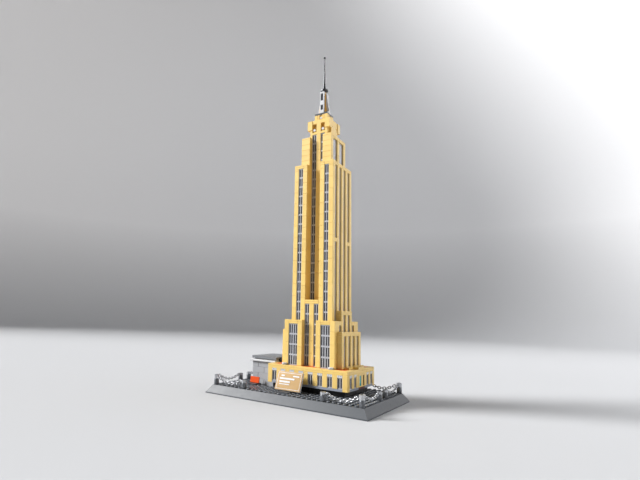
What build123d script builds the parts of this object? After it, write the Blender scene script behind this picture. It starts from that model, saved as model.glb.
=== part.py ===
from build123d import *
import math
import os

# A stepped tower of stud-jointed bricks on a sloped base, with a chain fence, a tilting plaque and an annex.
# The origin is the middle of the underside, +Z is up, +X is right and -Y is the front.
# Plan sizes are counted in studs and heights in plates, measured from the top of the base.

os.makedirs("parts", exist_ok=True)

# Brick module
stud = 8.0
plate = 3.2
stud_radius = 2.4
stud_height = 1.7

# Base
deck_width = 32 * stud
deck_depth = 20 * stud
base_height = 4 * plate
slope_run = stud
slope_lip = 1.6
rim_joint = 0.1
quarter_x = 0.0
quarter_y = stud

# The tower's centre line stands off the middle of the base
tower_x = 2.5 * stud
tower_y = 1.5 * stud

# Levels of the tower, in plates above the base
podium_floor_level = 3
window_sill_level = 4
window_head_level = 9
lintel_top_level = 10
podium_top = 12
side_block_top = 29
lower_block_top = 34
side_centre_top = 39
recess_panel_top = 44
shaft_top = 115
upper_top = 131
crown_top = 141
top_block_top = 145
window_unit = 5

# Window strips
frame_setback = 0.9
frame_depth = 2.0
pane_depth = 1.4
frame_edge = 0.95
frame_rail = 1.3
mullion = 1.3
side_pane_setback = 2.2

# Chain fence
post_radius = 4.0
ring_hole_radius = 2.5
link_wire = 1.2
link_length = 6.9
link_width = 4.6
link_pitch = 4.3
eye_centre = 3.9
chain_sag = 6.2

# Plaque
plaque_width = 44.0
plaque_height = 28.3
plaque_thickness = 3.2
plaque_lean = 21.0
plaque_pivot_y = -67.0
plaque_pivot_z = 3.0
plaque_x = -2.5 * stud


def level(plates):
    """Horizontal plane centred on the tower's axis, a number of plates above the base."""
    return Plane((tower_x, tower_y, base_height + plates * plate))


def in_studs(spots):
    """Plan positions in millimetres from positions in studs."""
    return [(x * stud, y * stud) for x, y in spots]


def add_bricks(spots, width, depth, bottom, top):
    """Adds an upright brick at each spot to the open part: plan in studs, levels in plates."""
    with BuildSketch(level(bottom)) as outline:
        with Locations(*in_studs(spots)):
            Rectangle(width * stud, depth * stud)
    extrude(outline.sketch, amount=(top - bottom) * plate)


def add_block(x_range, y_range, bottom, top):
    """Adds one brick that fills a plan rectangle given by its limits in studs."""
    middle = (sum(x_range) / 2, sum(y_range) / 2)
    add_bricks([middle], x_range[1] - x_range[0], y_range[1] - y_range[0], bottom, top)


def facade(side, bottom):
    """Vertical plane on a wall line: its x runs along the wall in studs, its z points outwards."""
    outward = {"front": (0, -1, 0), "back": (0, 1, 0), "right": (1, 0, 0), "left": (-1, 0, 0)}[side]
    along = Vector(0, 0, 1).cross(Vector(outward))
    return Plane((tower_x, tower_y, base_height + bottom * plate), x_dir=along, z_dir=outward)


def add_ladder(side, wall, centre, bottom, units, studs_wide=1):
    """Adds one window frame: pairs of upright lights stacked in units, set back from the wall line."""
    height = units * window_unit * plate
    width = studs_wide * stud
    light_width = (stud - 2 * frame_edge - mullion) / 2
    light_height = window_unit * plate - 2 * frame_rail
    front = facade(side, bottom).offset(wall * stud - frame_setback)
    along = centre * stud if side in ("front", "right") else -centre * stud
    with BuildSketch(front) as outline:
        with Locations((along, height / 2)):
            Rectangle(width, height)
            with GridLocations(stud, window_unit * plate, studs_wide, units):
                with GridLocations(light_width + mullion, 0, 2, 1):
                    Rectangle(light_width, light_height, mode=Mode.SUBTRACT)
    extrude(outline.sketch, amount=-frame_depth)


def add_pane(side, wall, centre, bottom, top, width=1, setback=frame_setback + frame_depth):
    """Adds one pane, a flat panel set back from the wall line."""
    front = facade(side, bottom).offset(wall * stud - setback)
    along = centre * stud if side in ("front", "right") else -centre * stud
    height = (top - bottom) * plate
    with BuildSketch(front) as outline:
        with Locations((along, height / 2)):
            Rectangle(width * stud, height)
    extrude(outline.sketch, amount=-pane_depth)


def finish(piece, name):
    """Labels a finished piece and writes its STEP file."""
    piece.part.label = name
    export_step(piece.part, f"parts/{name}.step")


both = (-1, 1)
faces = ("front", "back")
flanks = ("right", "left")

# ---------------------------------------------------------------- base

# Floor plates and hollow-base ribs inside the sloped rim
with BuildPart() as base_underframe:
    with BuildSketch(Plane.XY):
        with Locations((-deck_width / 4, 0), (deck_width / 4, 0)):
            Rectangle(deck_width / 2 - 0.2, deck_depth)
    extrude(amount=plate - 0.1)
    with BuildSketch(Plane.XY.offset(plate)):
        with GridLocations(0, deck_depth - stud, 1, 2):
            Rectangle(deck_width, stud)
        with GridLocations(deck_width / 4 - 2, 0, 5, 1):
            Rectangle(stud, deck_depth - 2 * stud - 0.2)
    extrude(amount=2 * plate)
finish(base_underframe, "base_underframe")

# Places on the deck that carry a piece, where no stud shows
post_spots = [(x, y) for x in (-18, 13) for y in (-11, 8, -3, 0)]
post_spots += [(x, y) for x in (-11, 6) for y in (-11, 8)]
bracket_spots = [(x, y) for x in (-3, -2) for y in (-10, -9, -8)]
stand_spots = [(-13, -5), (-12, -5), (-13, -6), (-12, -6)]


def is_covered(x, y):
    """True where a brick, post or bracket stands on the deck at this stud."""
    under_plinth = abs(x) <= 7 and abs(y) <= 5
    under_annex = -14 <= x <= -9 and -5 <= y <= 4
    listed = (x, y) in post_spots + bracket_spots + stand_spots
    return under_plinth or under_annex or listed


deck_studs = [(x, y) for x in range(-18, 14) for y in range(-11, 9) if not is_covered(x, y)]

# Four deck plates with their studs
with BuildPart() as deck_plates:
    for x_range in ((-deck_width / 2, quarter_x), (quarter_x, deck_width / 2)):
        for y_range in ((-deck_depth / 2, quarter_y), (quarter_y, deck_depth / 2)):
            with BuildSketch(Plane.XY.offset(3 * plate)):
                with Locations((sum(x_range) / 2, sum(y_range) / 2)):
                    Rectangle(x_range[1] - x_range[0] - 0.1, y_range[1] - y_range[0] - 0.1)
            extrude(amount=plate)
    with BuildSketch(level(0)):
        with Locations(*in_studs(deck_studs)):
            Circle(stud_radius)
    extrude(amount=stud_height)
finish(deck_plates, "deck_plates")


def slope_brick(corner, along, outward, length, start, end):
    """One sloped rim brick between two distances from a base corner, mitred at the base's corners."""
    with BuildPart() as brick:
        with BuildSketch(Plane(corner + along * start, x_dir=outward, z_dir=along)):
            with BuildLine():
                Polyline((0, 0), (slope_run, 0), (slope_run, slope_lip), (0, base_height), close=True)
            make_face()
        extrude(amount=end - start)
        split(bisect_by=Plane(corner, z_dir=along + outward), keep=Keep.TOP)
        split(bisect_by=Plane(corner + along * length, z_dir=outward - along), keep=Keep.TOP)
    return brick.part


def slope_pair(corner, along, outward, length, joint):
    """The two sloped rim bricks of one side, with their joint at a distance from a base corner."""
    return [slope_brick(corner, along, outward, length, -slope_run, joint),
            slope_brick(corner, along, outward, length, joint + rim_joint, length + slope_run)]


# Sloped rim bricks along the front and back
half_deck = Vector(deck_width / 2, deck_depth / 2, 0)
front_corner = Vector(half_deck.X, -half_deck.Y, 0)
right_way = Vector(1, 0, 0)
back_way = Vector(0, 1, 0)
front_slopes = slope_pair(front_corner, -right_way, -back_way, deck_width, half_deck.X - quarter_x)
back_slopes = slope_pair(-front_corner, right_way, back_way, deck_width, half_deck.X + quarter_x)
with BuildPart() as long_slopes:
    add(front_slopes + back_slopes)
finish(long_slopes, "long_slopes")

# Sloped rim bricks along the left and right
right_slopes = slope_pair(half_deck, -back_way, right_way, deck_depth, half_deck.Y - quarter_y)
left_slopes = slope_pair(-half_deck, back_way, -right_way, deck_depth, half_deck.Y + quarter_y)
with BuildPart() as side_slopes:
    add(right_slopes + left_slopes)
finish(side_slopes, "side_slopes")

# ---------------------------------------------------------------- podium

# Dark recessed bricks that lift the podium off the deck
with BuildPart() as plinth_bricks:
    add_bricks([(0, -5), (0, 5)], 14.98, 1, 0, podium_floor_level)
    add_bricks([(-7, 0), (7, 0)], 1, 8.98, 0, podium_floor_level)
finish(plinth_bricks, "plinth_bricks")

# Hidden pillars that carry the tower through the podium
pillar_spots = [(x, y) for x in (-3.5, 0, 3.5) for y in (-2.5, 2.5)]
with BuildPart() as podium_pillars:
    add_bricks(pillar_spots, 2, 2, 0, podium_floor_level)
    add_bricks(pillar_spots, 2, 2, window_sill_level, podium_top - 1)
finish(podium_pillars, "podium_pillars")

# Pale floor plates, whose edge shows as a strip under the windows
with BuildPart() as podium_floor:
    with BuildSketch(level(podium_floor_level)):
        Rectangle(17 * stud, 13 * stud)
        with GridLocations(16 * stud, 12 * stud, 2, 2):
            Rectangle(stud, stud, mode=Mode.SUBTRACT)
        Rectangle(0.1, 13 * stud, mode=Mode.SUBTRACT)
        with Locations((8 * stud, 0)):
            Rectangle(stud, 3 * stud, mode=Mode.SUBTRACT)
    extrude(amount=plate)
finish(podium_floor, "podium_floor")

# Corner columns and the piers between the windows
front_windows = (-7, -5, -3, -1, 1, 3, 5, 7)
with BuildPart() as podium_piers:
    add_bricks([(x, y) for x in (-8, 8) for y in (-6, 6)], 1, 1, podium_floor_level, lintel_top_level)
    add_bricks([(x, y) for x in range(-6, 7, 2) for y in (-6, 6)], 1, 1, window_sill_level, lintel_top_level)
    add_bricks([(8, y) for y in (-4, -2, 2, 4)] + [(-8, -4)], 1, 1, window_sill_level, lintel_top_level)
    add_block((-8.5, -7.5), (-3.48, 4.5), window_sill_level, lintel_top_level)
finish(podium_piers, "podium_piers")

# Window frames, panes and lintels, one of each to a window
side_windows = {"right": (-5, -3, 3, 5), "left": (-5, 5)}
with BuildPart() as podium_window_frames:
    for side in faces:
        for x in front_windows:
            add_ladder(side, 6.5, x, window_sill_level, 1)
    for side, spots in side_windows.items():
        for y in spots:
            add_ladder(side, 8.5, y, window_sill_level, 1)
finish(podium_window_frames, "podium_window_frames")

with BuildPart() as podium_window_panes:
    for side in faces:
        for x in front_windows:
            add_pane(side, 6.5, x, window_sill_level, window_head_level)
    for side, spots in side_windows.items():
        for y in spots:
            add_pane(side, 8.5, y, window_sill_level, window_head_level)
finish(podium_window_panes, "podium_window_panes")

with BuildPart() as podium_lintels:
    add_bricks([(x, y) for x in front_windows for y in (-6, 6)], 1, 1, window_head_level, lintel_top_level)
    for side, x in (("right", 8), ("left", -8)):
        add_bricks([(x, y) for y in side_windows[side]], 1, 1, window_head_level, lintel_top_level)
    for side in faces:
        with BuildSketch(facade(side, window_head_level).offset(6.5 * stud)) as holes:
            with GridLocations(2 * stud, 0, 8, 1):
                with Locations((-1.6, 2.1), (1.6, 2.1)):
                    Circle(0.65)
        extrude(holes.sketch, amount=-1.2, mode=Mode.SUBTRACT)
finish(podium_lintels, "podium_lintels")

# Cornice of smooth bricks, broken into lengths
with BuildPart() as podium_cornice:
    for y in (-6, 6):
        add_block((-8.5, -0.51), (y - 0.5, y + 0.5), lintel_top_level, podium_top)
        add_block((-0.49, 8.5), (y - 0.5, y + 0.5), lintel_top_level, podium_top)
    add_bricks([(-8, 0), (8, 0)], 1, 10.98, lintel_top_level, podium_top)
finish(podium_cornice, "podium_cornice")

# Orange roof plates around the tower's foot
with BuildPart() as podium_roof:
    add_block((-7.5, -0.01), (-5.5, 5.5), podium_top - 1, podium_top)
    add_block((0.01, 7.5), (-5.5, 5.5), podium_top - 1, podium_top)
finish(podium_roof, "podium_roof")

# Round pale tiles on the cornice
with BuildPart() as roof_round_tiles:
    with BuildSketch(level(podium_top)):
        with Locations(*in_studs([(x, y) for x in (-5, 5) for y in (-6, 6)])):
            Circle(stud / 2 - 0.1)
    extrude(amount=plate)
    chamfer(roof_round_tiles.edges().group_by(Axis.Z)[-1], 0.3)
finish(roof_round_tiles, "roof_round_tiles")

# Low platform beside the side block, and the parapet over the door
with BuildPart() as roof_platforms:
    add_block((6.52, 7.48), (-3.5, 3.5), podium_top, podium_top + 1)
    add_bricks([(8, 0)], 1, 3, podium_top, podium_top + 1)
finish(roof_platforms, "roof_platforms")

# Doorway panel on the right: a raised arch outline over a shallow pocket
door_wall = 8.5 * stud
pocket_depth = 2.6
pocket_low = -1.0 * stud
pocket_high = 1.32 * stud
pocket_sill = 0.25 * plate
pocket_top = 5.1 * plate
with BuildPart() as doorway_surround:
    add_bricks([(8, 0)], 1, 3, window_sill_level, lintel_top_level)
    with BuildSketch(facade("right", window_sill_level).offset(door_wall)) as pocket:
        with Locations(((pocket_low + pocket_high) / 2, (pocket_sill + pocket_top) / 2)):
            Rectangle(pocket_high - pocket_low, pocket_top - pocket_sill)
    extrude(pocket.sketch, amount=-pocket_depth, mode=Mode.SUBTRACT)
    with BuildSketch(facade("right", window_sill_level).offset(door_wall - pocket_depth)) as leaf_panel:
        with Locations((stud / 2, (pocket_sill + pocket_top) / 2)):
            Rectangle(0.96 * stud, pocket_top - pocket_sill)
    extrude(leaf_panel.sketch, amount=pocket_depth - 0.8)
finish(doorway_surround, "doorway_surround")

# Brown door posts, one with a latch piece, and the dark threshold
with BuildPart() as doorway_trim:
    with BuildSketch(facade("right", window_sill_level).offset(door_wall - pocket_depth)) as posts:
        for y in (-0.94, 1.19):
            with Locations((y * stud, (pocket_sill + pocket_top) / 2)):
                Rectangle(0.9, pocket_top - pocket_sill)
        with Locations((1.19 * stud - 0.85, 3 * plate)):
            Rectangle(1.0, 0.9)
    extrude(posts.sketch, amount=1.9)
    add_bricks([(8, 0)], 1, 2.98, podium_floor_level, window_sill_level)
finish(doorway_trim, "doorway_trim")

# Teal door leaf, hung on its front edge
door_low = -0.82 * stud
door_width = 0.74 * stud
door_bottom = pocket_sill + 0.3
door_height = 4.7 * plate
door_thickness = 1.4
door_pin_x = door_wall - pocket_depth + 0.3 + door_thickness / 2
with BuildPart() as door_leaf:
    with BuildSketch(facade("right", window_sill_level).offset(door_pin_x - door_thickness / 2)) as leaf:
        with Locations((door_low + door_width / 2, door_bottom + door_height / 2)):
            Rectangle(door_width, door_height)
    extrude(leaf.sketch, amount=door_thickness)
    fillet(door_leaf.edges().filter_by(Axis.Z).sort_by(Axis.Y)[:2], door_thickness / 2 - 0.05)
finish(door_leaf, "door_leaf")

# ---------------------------------------------------------------- annex

# Annex walls in two courses, with a curved slope brick at the foot
annex_course = 7.5
annex_wall_top = 11.5
with BuildPart() as annex_walls:
    for bottom, top in ((0, annex_course), (annex_course + 0.02, annex_wall_top)):
        for x_range in ((-14.5, -11.51), (-11.49, -8.52)):
            add_block(x_range, (-3.5, -2.5), bottom, top)
        add_block((-14.5, -13.5), (-2.48, 3.48), bottom, top)
        add_block((-14.5, -8.52), (3.5, 4.5), bottom, top)
    with BuildSketch(facade("front", 0).offset(3.52 * stud)) as slope_profile:
        with BuildLine():
            foot = Line((-10.6 * stud, 0), (-8.52 * stud, 0))
            back_edge = Line(foot @ 1, (-8.52 * stud, 4.7 * plate))
            lip = Line(foot @ 0, (-10.6 * stud, 1.5 * plate))
            ThreePointArc(lip @ 1, (-9.9 * stud, 3.9 * plate), back_edge @ 1)
        make_face()
    extrude(slope_profile.sketch, amount=0.96 * stud)
finish(annex_walls, "annex_walls")

# Annex roof: an eave that overhangs, a narrow neck and a top plate
eave_overhang = 0.45
with BuildPart() as annex_roof:
    add_block((-14.5 - eave_overhang, -8.52), (-3.5 - eave_overhang, 4.5 + eave_overhang),
              annex_wall_top, 12.5)
    add_block((-14.2, -8.52), (-3.2, 4.2), 12.5, 13)
    add_block((-14.6, -8.52), (-3.6, 4.6), 13, 14.2)
    fillet(annex_roof.edges().filter_by(Axis.X).group_by(Axis.Y)[0], 0.8)
finish(annex_roof, "annex_roof")

# Dark roof piece that joins the annex roof to the tower
with BuildPart() as annex_roof_link:
    add_block((-8.5, -6.52), (-2.5, 4.5), podium_top, 13.4)
    add_block((-8.5, -6.52), (-2.2, 4.2), 13.4, 14)
finish(annex_roof_link, "annex_roof_link")

# Small orange tile sign on its stand
tile_sign_y = -5.5 * stud
with BuildPart() as tile_sign_stand:
    add_block((-13.5, -11.5), (-6.5, -4.5), 0, 1)
    add_block((-13.1, -11.9), (-5.1, -4.5), 1, 2.6)
finish(tile_sign_stand, "tile_sign_stand")

sign_foot = Plane((tower_x - 12.4 * stud, tower_y + tile_sign_y, base_height + 1.15 * plate))
with BuildPart() as tile_sign:
    with BuildSketch(sign_foot.rotated((-8, 0, 0))):
        Rectangle(17, 2.2)
    extrude(amount=9.6)
    chamfer(tile_sign.edges().filter_by(Axis.X), 0.25)
finish(tile_sign, "tile_sign")

# ---------------------------------------------------------------- fence

# Round posts, one stud high of a brick, with a stud on top
with BuildPart() as fence_posts:
    with BuildSketch(level(0)):
        with Locations(*in_studs(post_spots)):
            Circle(post_radius - 0.1)
    extrude(amount=3 * plate)
    with BuildSketch(level(3)):
        with Locations(*in_studs(post_spots)):
            Circle(stud_radius)
    extrude(amount=stud_height)
finish(fence_posts, "fence_posts")

# One closed link, a round wire bent to a long loop, lying flat
link_bend = (link_width - link_wire) / 2
link_straight = (link_length - link_width) / 2
with BuildPart() as link:
    with BuildLine() as loop:
        upper_side = Line((-link_straight, link_bend), (link_straight, link_bend))
        RadiusArc(upper_side @ 1, (link_straight, -link_bend), link_bend)
        lower_side = Line((link_straight, -link_bend), (-link_straight, -link_bend))
        RadiusArc(lower_side @ 1, upper_side @ 0, link_bend)
    with BuildSketch(Plane(upper_side @ 0, z_dir=(1, 0, 0))):
        Circle(link_wire / 2)
    sweep(path=loop.wire())

# Each chain: its name, the two posts in studs, and the levels of its two end rings
corner_low = 3
corner_high = 4
chains = {
    "chain_front_left": ((-18, -11), (-11, -11), corner_low, corner_low),
    "chain_front_right": ((6, -11), (13, -11), corner_low, corner_low),
    "chain_back_left": ((-18, 8), (-11, 8), corner_low, corner_low),
    "chain_back_right": ((6, 8), (13, 8), corner_low, corner_low),
    "chain_right_front": ((13, -11), (13, -3), corner_high, corner_low),
    "chain_right_back": ((13, 8), (13, 0), corner_high, corner_low),
    "chain_left_front": ((-18, -11), (-18, -3), corner_high, corner_low),
    "chain_left_back": ((-18, 8), (-18, 0), corner_high, corner_low),
}


def post_point(spot, ring_level):
    """Middle of a chain's end ring on the axis of its post."""
    height = base_height + (ring_level + 0.5) * plate
    return Vector(tower_x + spot[0] * stud, tower_y + spot[1] * stud, height)


# End rings stacked on the posts, each with a flat eye towards its chain
with BuildPart() as chain_rings:
    for first, second, first_level, second_level in chains.values():
        start = post_point(first, first_level)
        end = post_point(second, second_level)
        for here, there in ((start, end), (end, start)):
            towards = Vector(there.X - here.X, there.Y - here.Y, 0).normalized()
            flat = Plane(here, x_dir=towards, z_dir=(0, 0, 1))
            with BuildSketch(flat.offset(-plate / 2 + 0.02)) as ring:
                Circle(post_radius)
            extrude(ring.sketch, amount=plate - 0.04)
            eye = Plane(here + towards * eye_centre, x_dir=towards, z_dir=(0, 0, 1))
            add(link.part.moved(eye.location))
            with BuildSketch(flat.offset(-plate / 2)) as bore:
                Circle(ring_hole_radius)
            extrude(bore.sketch, amount=plate, mode=Mode.SUBTRACT)
finish(chain_rings, "chain_rings")


def hang_chain(start, end):
    """Adds links along a parabola between two ring eyes, each a quarter turn from the last."""
    eye_end = eye_centre + (link_length - link_wire) / 2
    flat = Vector(end.X - start.X, end.Y - start.Y, 0)
    towards = flat.normalized()
    reach = flat.length - 2 * eye_end
    rise = end.Z - start.Z

    def point(share):
        """Point on the hanging line at a share of the reach."""
        height = rise * share - 4 * chain_sag * share * (1 - share)
        return start + towards * (eye_end + reach * share) + Vector(0, 0, height)

    steps = 400
    line = [point(i / steps) for i in range(steps + 1)]
    run = [0.0]
    for a, b in zip(line, line[1:]):
        run.append(run[-1] + (b - a).length)
    wire_to_wire = link_length - link_wire
    count = 2 * round((run[-1] + wire_to_wire) / link_pitch / 2 - 1) + 1
    pitch = (run[-1] + wire_to_wire) / (count + 1)
    for i in range(count):
        centre = pitch - wire_to_wire / 2 + i * pitch
        k = next(j for j, length in enumerate(run) if length >= centre)
        before, after = line[max(k - 30, 0)], line[min(k + 30, steps)]
        tangent = (after - before).normalized()
        sideways = Vector(0, 0, 1).cross(towards)
        normal = tangent.cross(sideways) if i % 2 else sideways
        add(link.part.moved(Plane(line[k], x_dir=tangent, z_dir=normal).location))
    return pitch


for name, (first, second, first_level, second_level) in chains.items():
    with BuildPart() as chain:
        spacing = hang_chain(post_point(first, first_level), post_point(second, second_level))
    print(name, "links", len(chain.part.solids()), "pitch", round(spacing, 3))
    finish(chain, name)

# ---------------------------------------------------------------- plaque

pivot = Vector(tower_x + plaque_x, tower_y + plaque_pivot_y, base_height + plaque_pivot_z)
knuckle_radius = 1.6
knuckle_half = 3.0
pin_radius = 0.8
pin_clearance = 0.05
ear_width = 3.0
ear_radius = 1.75
ear_gap = 0.25
panel_front = 5.0
panel_low = -1.0

# Panel plane: x along the panel's width, y up the panel, z out of its face
panel_plane = Plane(pivot, x_dir=(1, 0, 0), z_dir=(0, -1, 0)).rotated((-plaque_lean, 0, 0))
with BuildPart() as plaque_panel:
    with BuildSketch(panel_plane.offset(panel_front - plaque_thickness)):
        with Locations((0, panel_low + plaque_height / 2)):
            Rectangle(plaque_width, plaque_height)
    extrude(amount=plaque_thickness - 0.6)
    with BuildSketch(Plane(pivot, z_dir=(1, 0, 0)).offset(-knuckle_half)):
        Circle(knuckle_radius)
    extrude(amount=2 * knuckle_half)
    with BuildSketch(panel_plane.offset(-knuckle_radius)):
        Rectangle(2 * knuckle_half, 1.9)
    extrude(amount=knuckle_radius + panel_front - plaque_thickness)
    with BuildSketch(Plane(pivot, z_dir=(1, 0, 0)).offset(-knuckle_half - 2.4)):
        Circle(pin_radius)
    extrude(amount=2 * knuckle_half + 4.8)
finish(plaque_panel, "plaque_panel")

# Gold face tile with a sunk border line
with BuildPart() as plaque_face:
    with BuildSketch(panel_plane.offset(panel_front - 0.6)):
        with Locations((0, panel_low + plaque_height / 2)):
            Rectangle(plaque_width - 0.6, plaque_height - 0.6)
    extrude(amount=0.6)
    with BuildSketch(panel_plane.offset(panel_front)):
        with Locations((0, panel_low + plaque_height / 2)):
            Rectangle(plaque_width - 4.0, plaque_height - 4.0)
            Rectangle(plaque_width - 4.7, plaque_height - 4.7, mode=Mode.SUBTRACT)
    extrude(amount=-0.25, mode=Mode.SUBTRACT)
finish(plaque_face, "plaque_face")

# Raised bars that stand for the lines of an inscription
bar_rows = ((11.5, 20.9, 11.0, 1.9), (-11.4, 20.7, 6.2, 2.3), (-3.5, 16.3, 26.0, 2.5),
            (-6.6, 11.7, 19.0, 2.5), (-6.8, 7.9, 18.0, 1.2))
with BuildPart() as plaque_relief:
    with BuildSketch(panel_plane.offset(panel_front)):
        for x, y, width, height in bar_rows:
            with Locations((x, y)):
                SlotOverall(width, height)
    extrude(amount=0.35)
finish(plaque_relief, "plaque_relief")

# Bracket on the deck: a foot plate, a low bed and two ears that hold the panel's stub pins
ear_x = knuckle_half + ear_gap + ear_width / 2
with BuildPart() as plaque_bracket:
    with BuildSketch(Plane.XY.offset(base_height)):
        with Locations((pivot.X, tower_y - 9.73 * stud)):
            Rectangle(2 * stud, 1.35 * stud)
    extrude(amount=plate - 0.1)
    with BuildSketch(Plane.XY.offset(base_height)):
        with Locations((pivot.X, tower_y - 8.7 * stud)):
            Rectangle(2 * stud, 1.4 * stud)
    extrude(amount=0.9)
    with BuildSketch(Plane(pivot, z_dir=(1, 0, 0)).offset(-ear_x - ear_width / 2)) as ears:
        with BuildLine():
            ear_top = CenterArc((0, 0), ear_radius, 0, 180)
            Polyline(ear_top @ 1, (-ear_radius, -plaque_pivot_z), (ear_radius, -plaque_pivot_z), ear_top @ 0)
        make_face()
    extrude(ears.sketch, amount=ear_width)
    extrude(ears.sketch.moved(Location((2 * ear_x, 0, 0))), amount=ear_width)
    with BuildSketch(Plane(pivot, z_dir=(1, 0, 0)).offset(-knuckle_half - ear_gap - ear_width)) as pin_hole:
        Circle(pin_radius + pin_clearance)
    extrude(pin_hole.sketch, amount=2 * ear_x + ear_width, mode=Mode.SUBTRACT)
finish(plaque_bracket, "plaque_bracket")

# ---------------------------------------------------------------- tower

# Hidden filler bricks and the H-shaped column that runs up the tower
lower_core_top = 33
with BuildPart() as tower_core:
    with BuildSketch(level(podium_top)):
        Rectangle(9 * stud, 7 * stud)
        with GridLocations(6 * stud, 8 * stud, 2, 2):
            Rectangle(3 * stud, stud)
    extrude(amount=(lower_core_top - podium_top) * plate)
    with BuildSketch(level(lower_core_top)):
        Rectangle(3 * stud, 3 * stud)
        with GridLocations(4 * stud, 0, 2, 1):
            Rectangle(stud, 5 * stud)
    extrude(amount=(upper_top - lower_core_top) * plate)
    with BuildSketch(level(lower_core_top)):
        with GridLocations(0, 6 * stud, 1, 2):
            Rectangle(2.98 * stud, stud)
    extrude(amount=(recess_panel_top - lower_core_top) * plate)
    with BuildSketch(level(lower_core_top)):
        with GridLocations(0, 4 * stud, 1, 2):
            Rectangle(3 * stud, stud)
    extrude(amount=10 * plate)
finish(tower_core, "tower_core")

corner_signs = [(sx, sy) for sx in both for sy in both]

# Lower blocks at the four corners: piers each side of a double window, and the band above
lower_window_top = 32
with BuildPart() as lower_block_walls:
    for sx, sy in corner_signs:
        add_bricks([(2 * sx, 5 * sy)], 1, 1, podium_top, lower_block_top)
        add_bricks([(5 * sx, 4.5 * sy)], 1, 2, podium_top, lower_block_top)
        add_bricks([(3.5 * sx, 5 * sy)], 2, 1, lower_window_top, lower_block_top)
        add_bricks([(5 * sx, 3 * sy)], 1, 1, podium_top, side_block_top - 2)
        add_bricks([(5 * sx, 3 * sy)], 1, 1, lower_window_top, lower_block_top)
finish(lower_block_walls, "lower_block_walls")

with BuildPart() as lower_window_frames:
    for side in faces:
        for x in (-3.5, 3.5):
            add_ladder(side, 5.5, x, podium_top, 4, studs_wide=2)
finish(lower_window_frames, "lower_window_frames")

# Side blocks with four tall windows, and the taller centre behind them
with BuildPart() as side_block_walls:
    for sx in both:
        add_bricks([(6 * sx, y) for y in (-4, -2, 0, 2, 4)], 1, 1, podium_top, side_block_top - 2)
        add_bricks([(6 * sx, 0)], 1, 9, side_block_top - 2, side_block_top)
        add_bricks([(4.99 * sx, 0)], 0.98, 4.98, podium_top, side_block_top - 2)
        add_bricks([(4.99 * sx, y) for y in (-2, 0, 2)], 0.98, 0.98, side_block_top - 2, side_centre_top - 2)
        add_bricks([(4.99 * sx, 0)], 0.98, 4.98, side_centre_top - 2, side_centre_top)
finish(side_block_walls, "side_block_walls")

# Recess walls between the lower blocks, front and back
recess_window_top = 42
with BuildPart() as recess_walls:
    for sy in both:
        add_bricks([(0, 4 * sy)], 1, 1, podium_top, recess_window_top)
        add_bricks([(0, 4 * sy)], 2.98, 1, recess_window_top, recess_panel_top)
        add_bricks([(0, 2 * sy)], 1, 1, lower_core_top + 10, crown_top - 8)
finish(recess_walls, "recess_walls")

recess_bottom = lower_core_top + 10
with BuildPart() as recess_window_frames:
    for side in faces:
        for x in both:
            add_ladder(side, 4.5, x, podium_top, 6)
            add_ladder(side, 2.5, x, recess_bottom, 18)
finish(recess_window_frames, "recess_window_frames")

# Shaft piers, from the lower core to the wing caps
shaft_window_top = 113
with BuildPart() as shaft_piers:
    add_bricks([(4 * sx, 4 * sy) for sx, sy in corner_signs], 1, 1, lower_core_top, shaft_window_top)
    add_bricks([(2 * sx, 3.5 * sy) for sx, sy in corner_signs], 1, 1.98, lower_core_top, shaft_window_top)
    add_bricks([(4 * sx, y) for sx in both for y in (-2, 0, 2)], 1, 1, lower_core_top, shaft_window_top)
    add_bricks([(4 * sx, 3 * sy) for sx, sy in corner_signs], 1, 1, 73, 75)
finish(shaft_piers, "shaft_piers")

with BuildPart() as shaft_window_frames:
    for side in faces:
        for x in (-3, 3):
            add_ladder(side, 4.5, x, lower_core_top, 16)
finish(shaft_window_frames, "shaft_window_frames")

# Dark panes behind the framed windows of the front and back
with BuildPart() as framed_window_panes:
    for side in faces:
        for x in (-3.5, 3.5):
            add_pane(side, 5.5, x, podium_top, lower_window_top, 2)
        for x in both:
            add_pane(side, 4.5, x, podium_top, recess_window_top)
            add_pane(side, 2.5, x, recess_bottom, recess_bottom + 18 * window_unit)
        for x in (-3, 3):
            add_pane(side, 4.5, x, lower_core_top, shaft_window_top)
finish(framed_window_panes, "framed_window_panes")

# Plain grey panes of the two flanks
with BuildPart() as side_window_panes:
    for side in flanks:
        for y in (-3, -1, 1, 3):
            add_pane(side, 6.5, y, podium_top, side_block_top - 2, 1, side_pane_setback)
        for y in both:
            add_pane(side, 5.5, y, side_block_top - 2, side_centre_top - 2, 1, side_pane_setback)
            add_pane(side, 5.5, 3 * y, side_block_top - 2, lower_window_top, 1, side_pane_setback)
            add_pane(side, 4.5, y, lower_core_top, shaft_window_top, 1, side_pane_setback)
            add_pane(side, 4.5, 3 * y, lower_core_top, 73, 1, side_pane_setback)
            add_pane(side, 4.5, 3 * y, 75, shaft_window_top, 1, side_pane_setback)
            add_pane(side, 3.5, 1.5 * y, shaft_top, upper_top - 2, 2, side_pane_setback)
finish(side_window_panes, "side_window_panes")

# Caps of the shaft's two wings, and the filler bricks under them
with BuildPart() as shaft_caps:
    for sx in both:
        with BuildSketch(level(shaft_window_top)):
            with Locations((3 * sx * stud, 0)):
                Rectangle(3 * stud, 9 * stud)
            with Locations((2 * sx * stud, 0)):
                Rectangle(stud, 5 * stud, mode=Mode.SUBTRACT)
        extrude(amount=(shaft_top - shaft_window_top) * plate)
        add_bricks([(3 * sx, 0)], 1, 6.98, lower_core_top, shaft_window_top)
finish(shaft_caps, "shaft_caps")

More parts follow.
